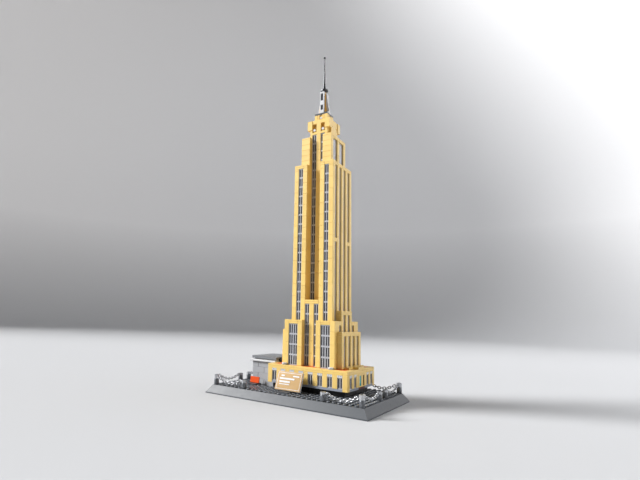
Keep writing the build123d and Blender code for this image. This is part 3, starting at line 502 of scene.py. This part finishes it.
# ------------------------------------------------------------------ annex
# A small annex of pale grey bricks stands beside the podium, with one curved slope brick at its foot. A white
# eave and a grey roof plate lie on it, and a dark roof piece joins it to the tower.
annex_grey = moulded("annex_grey", linear(166, 168, 172), 0.34, per_brick=True)
eave_top = 0.0535
roof_white = moulded("annex_roof_grey", linear(206, 207, 209), 0.30, above=(eave_top, linear(120, 123, 128)))
dress(annex_grey, "annex_walls")
dress(roof_white, "annex_roof")
dress(deck_grey, "annex_roof_link")
annex_length = (-14.5, -8.52)
annex_height = (0, 11.5)
annex_rows = brickwork(annex_length, (-3.5, -2.5), annex_height, 3, 3, offset=2.5)
annex_rows += brickwork(annex_length, (3.5, 4.5), annex_height, 3, 3, offset=2.5)
annex_rows += brickwork((-14.5, -13.5), (-2.5, 3.5), annex_height, 3, 3, offset=2.5)
lay_bricks("annex_brickwork", annex_rows, annex_grey, ["annex_walls"],
           round_by=0.0005)


def curved_slope(foot, tip, steps, sides, inset):
    """Points of a block whose outline, in studs and plates, is a foot line and then a quarter of an ellipse
    up from the tip. The outline is repeated at each side position, and scaled a little towards its middle at
    the two outer ones, which rounds the block's edges."""
    length, shoulder, rise, gap = foot - tip, 1.5, 3.2, 0.02
    angle = np.linspace(math.pi, math.pi / 2, steps)
    x = np.concatenate([[foot, tip], foot + length * np.cos(angle)])
    z = np.concatenate([[gap, gap], shoulder + rise * np.sin(angle)])
    points = np.stack([np.stack([x, np.full(steps + 2, y), z], axis=-1) for y in sides])
    shrink = np.array([inset, 1.0, 1.0, inset])[:, None]
    middle_x, middle_z = -9.4, 2.0
    points[..., 0] = middle_x + (points[..., 0] - middle_x) * shrink
    points[..., 2] = middle_z + (points[..., 2] - middle_z) * shrink
    return points.reshape(-1, 3)


curve_steps = 16
curve_ring = curve_steps + 2
curve_points = curved_slope(-8.54, -10.6, curve_steps, (-4.46, -4.44, -3.56, -3.54), 0.985)
curve_faces = grid_faces(4, curve_ring, closed_columns=True).tolist()
curve_faces += [list(range(curve_ring))[::-1], list(range(3 * curve_ring, 4 * curve_ring))]
curve = link_mesh("annex_curved_slope", axis + curve_points * unit, curve_faces)
tone = curve.data.attributes.new("tone", "FLOAT", "POINT")
tone.data.foreach_set("value", np.full(4 * curve_ring, 0.6, np.float32))
curve.data.materials.append(annex_grey)
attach(curve, base)

# ------------------------------------------------------------------ tile sign
# A small orange tile is held up by a dark grey stand in front of the annex. Both are plain moulded parts, and
# the stand sits on the deck's studs.
dress(orange, "tile_sign")
dress(deck_grey, "tile_sign_stand")

# ------------------------------------------------------------------ fence posts and chains
# Twelve round bricks stand on the deck's edge, each with a stud on top that holds the end rings of the
# chains. The chains hang between them and are moulded in a silvery plastic, link by link.
post_grey = moulded("post_grey", linear(100, 103, 108), 0.26, Metallic=0.3)
silver = moulded("chain_silver", linear(190, 192, 196), 0.24, Metallic=0.7)
dress(post_grey, "fence_posts")
dress(silver, *[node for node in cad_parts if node.startswith("chain_")])
post_radius = 0.0039
post_top = 3 * plate
post_round = 0.0004
post_foot = 0.0003
knob_round = 0.0003
post_profile = [(post_radius - post_foot, 0.0), (post_radius, post_foot),
                (post_radius, post_top - post_round), (post_radius - post_round, post_top),
                (stud_radius + 0.00005, post_top),
                (stud_radius, post_top + 0.0001), (stud_radius, post_top + stud_height - knob_round),
                (stud_radius - knob_round, post_top + stud_height)]
post_places = np.array([(x, y, 0) for x, y in post_spots]) * unit + axis
turned("fence_round_bricks", post_places, post_profile, 28, post_grey, ["fence_posts"])

# ------------------------------------------------------------------ plaque
# A white panel leans back on two stub pins between the ears of a dark bracket. Its gold face tile carries
# raised white bars, and a fine white line is printed round it, just inside the edge.
gold = moulded("gold_face", linear(150, 115, 54), 0.30, Metallic=0.15)
dress(white, "plaque_panel", "plaque_relief")
dress(gold, "plaque_face")
dress(slope_grey, "plaque_bracket")
face_low, face_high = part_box("plaque_face")
face_middle = (np.array(face_low) + np.array(face_high)) / 2
lean = math.radians(21)
face_up = np.array([0, math.sin(lean), math.cos(lean)])
face_out = np.array([0, -math.cos(lean), math.sin(lean)])
border_half = np.array([0.01983, 0.01198])
border_wide = 0.0003
border_corner = np.array([(-1, -1), (1, -1), (1, 1), (-1, 1)])
border_foot = 0.00015
border_top = 0.00034
border_rings = [(border_half + border_wide, border_foot), (border_half + border_wide, border_top),
                (border_half - border_wide, border_top), (border_half - border_wide, border_foot)]
border_points = [face_middle + half[0] * x * np.array([1, 0, 0]) + half[1] * y * face_up + out * face_out
                 for half, out in border_rings for x, y in border_corner]
border_faces = grid_faces(4, 4, closed_columns=True).tolist()
border_faces += [[12 + k, 12 + (k + 1) % 4, (k + 1) % 4, k] for k in range(4)]
border = link_mesh("plaque_border_line", border_points, border_faces)
border.data.materials.append(white)
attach(border, "plaque")

# ------------------------------------------------------------------ hidden core
# Filler bricks and a square column stand inside the tower and carry its upper tiers. They are tan like the
# walls, and only their edges can be seen between the piers.
dress(tan_plain, "tower_core")

# ------------------------------------------------------------------ lower corner blocks
# Four tan blocks rise from the podium's roof at the corners of the tower. Each has brick piers round two
# double windows, tied by plates at the top.


def outwards(near, far, side):
    """The ends of a run from near to far of the axis, towards side 1 or -1, the lower end first."""
    return sorted((near * side, far * side))


dress(tan_plain, "lower_block_walls")
block_height = (12, 34)
block_cap = (32, 34)
flank_height = (12, 27)
lower_rows = []
for sx in ends:
    for sy in ends:
        inner = outwards(1.5, 2.5, sx)
        outer = outwards(4.5, 5.5, sx)
        between = outwards(2.5, 4.5, sx)
        front = outwards(4.5, 5.5, sy)
        deep = outwards(3.5, 5.5, sy)
        gap = outwards(2.5, 3.5, sy)
        lower_rows += brickwork(inner, front, block_height, 6, offset=3)
        lower_rows += brickwork(outer, deep, block_height, 6, 2, offset=5, bond=False)
        lower_rows += brickwork(between, front, block_cap, 1, 2, bond=False)
        lower_rows += brickwork(outer, gap, flank_height, 6)
        lower_rows += brickwork(outer, gap, block_cap, 2)
lay_bricks("lower_block_brickwork", lower_rows, tan, ["lower_block_walls"])

# ------------------------------------------------------------------ side blocks
# A lower tan block stands out from each flank of the tower, with a taller middle part behind it. Both are
# rows of brick piers under a course or two of plates.
dress(tan_plain, "side_block_walls")
flank_cap = (27, 29)
middle_height = (27, 37)
middle_cap = (37, 39)
side_rows = []
for sx in ends:
    shell = outwards(5.5, 6.5, sx)
    behind = outwards(4.5, 5.48, sx)
    for y in (-4, -2, 0, 2, 4):
        side_rows += brickwork(shell, one_stud(y), flank_height, 6, offset=3 if y % 4 else 0)
    side_rows += brickwork(shell, (-4.5, 4.5), flank_cap, 1, 4)
    side_rows += brickwork(behind, (-2.49, 2.49), flank_height, 6)
    for y in (-2, 0, 2):
        side_rows += brickwork(behind, one_stud(y, 0.49), middle_height, 6)
    side_rows += brickwork(behind, (-2.49, 2.49), middle_cap, 1, 3)
lay_bricks("side_block_brickwork", side_rows, tan, ["side_block_walls"])

# ------------------------------------------------------------------ recess walls
# The front and the back are set in along the tower's middle. A low panel of tan bricks closes the foot of
# this recess, and one narrow pier runs up its whole height.
dress(tan_plain, "recess_walls")
panel_height = (12, 42)
panel_cap = (42, 44)
spine_height = (43, 133)
recess_rows = []
for sy in ends:
    panel = outwards(3.5, 4.5, sy)
    core = outwards(1.5, 2.5, sy)
    recess_rows += brickwork((-0.5, 0.5), panel, panel_height, 6)
    recess_rows += brickwork((-1.49, 1.49), panel, panel_cap, 1)
    recess_rows += brickwork((-0.5, 0.5), core, spine_height, 6, offset=3)
lay_bricks("recess_brickwork", recess_rows, tan, ["recess_walls"])

# ------------------------------------------------------------------ shaft
# Tan piers one stud wide go up the shaft at its corners and along its flanks, with a wing of two courses of
# plates over them. Bricks of six plates lie in each pier, one on another.
dress(tan_plain, "shaft_piers", "shaft_caps")
shaft_height = (33, 113)
wing_height = (113, 115)
band_height = (73, 75)
shaft_rows = []
for sx in ends:
    corner_x = outwards(3.5, 4.5, sx)
    inner_x = outwards(1.5, 2.5, sx)
    for sy in ends:
        corner_y = outwards(3.5, 4.5, sy)
        shaft_rows += brickwork(corner_x, corner_y, shaft_height, 6, offset=1)
        shaft_rows += brickwork(inner_x, outwards(2.51, 4.49, sy), shaft_height, 6, 2, offset=6, bond=False)
        shaft_rows += brickwork(corner_x, outwards(2.5, 3.5, sy), band_height, 2)
    for y in (-2, 0, 2):
        shaft_rows += brickwork(corner_x, one_stud(y), shaft_height, 6, offset=1 if y else 4)
lay_bricks("shaft_brickwork", shaft_rows, tan, ["shaft_piers"])

cap_rows = []
for sx in ends:
    cap_rows += brickwork(outwards(2.5, 4.5, sx), (-4.5, 4.5), wing_height, 1, 4)
    for sy in ends:
        cap_rows += brickwork(outwards(1.5, 2.5, sx), outwards(2.5, 4.5, sy), wing_height, 1, 2)
    cap_rows += brickwork(outwards(2.5, 3.5, sx), (-3.49, 3.49), shaft_height, 20, 8)
lay_bricks("shaft_cap_brickwork", cap_rows, tan, ["shaft_caps"])

# ------------------------------------------------------------------ tower windows
# Pale grey frames hold dark clear panes in the front and the back, and grey panes fill the flanks, with pale
# painted reflection streaks drawn up them. The frames are stacked one on another between the piers.
# The flank panes' pale streaks are painted reflections in their colour.
grey_pane = moulded("grey_pane", linear(112, 110, 112), 0.14, 0.10, painted_reflections=True, Coat_Weight=0.5)
dress(pale_grey, "lower_window_frames", "recess_window_frames", "shaft_window_frames")
dress(dark_pane, "framed_window_panes")
dress(grey_pane, "side_window_panes")

# ------------------------------------------------------------------ upper tier
# A narrower tier of tan bricks stands on the shaft's wings: four corner walls, a pier in the middle of each
# flank, and a plate over it.
dress(tan_plain, "upper_walls")
upper_height = (115, 131)
upper_flank = (115, 129)
upper_cap = (129, 131)
upper_rows = []
for sx in ends:
    wing = outwards(1.5, 3.5, sx)
    flank = outwards(2.5, 3.5, sx)
    for sy in ends:
        upper_rows += brickwork(wing, outwards(2.5, 3.5, sy), upper_height, 3, 2, bond=False)
    upper_rows += brickwork(flank, (-0.5, 0.5), upper_flank, 6)
    upper_rows += brickwork(flank, (-2.5, 2.5), upper_cap, 1, 5)
lay_bricks("upper_brickwork", upper_rows, tan, ["upper_walls"])

# ------------------------------------------------------------------ crown
# Tan walls with openings close the top of the tower, with corner pieces and wedges on them and one block
# above. Round white studs sit in the openings at the front and the back.
dress(tan_plain, "crown_walls", "crown_trim", "top_block")
dress(white, "crown_dots")

# ------------------------------------------------------------------ spire
# Dark plates carry a tapered gold-tan core. White window panels with dark windows and stepped white fins
# stand round it, clipped to the plates.
core_gold = moulded("spire_core_tan", linear(216, 160, 62), 0.30)
dress(deck_grey, "spire_plates")
dress(core_gold, "spire_core")
dress(white, "spire_panels")
dress(dark_pane, "spire_windows")

# ------------------------------------------------------------------ lantern and mast
# A round dish with a cone on it tops the spire, and a thin mast with a ball tip is pushed into the cone. Both
# are turned shapes in dark plastic with a metallic sheen.
mast_grey = moulded("mast_grey", linear(58, 60, 64), 0.22, Metallic=0.4)
dress(mast_grey, "lantern", "mast")
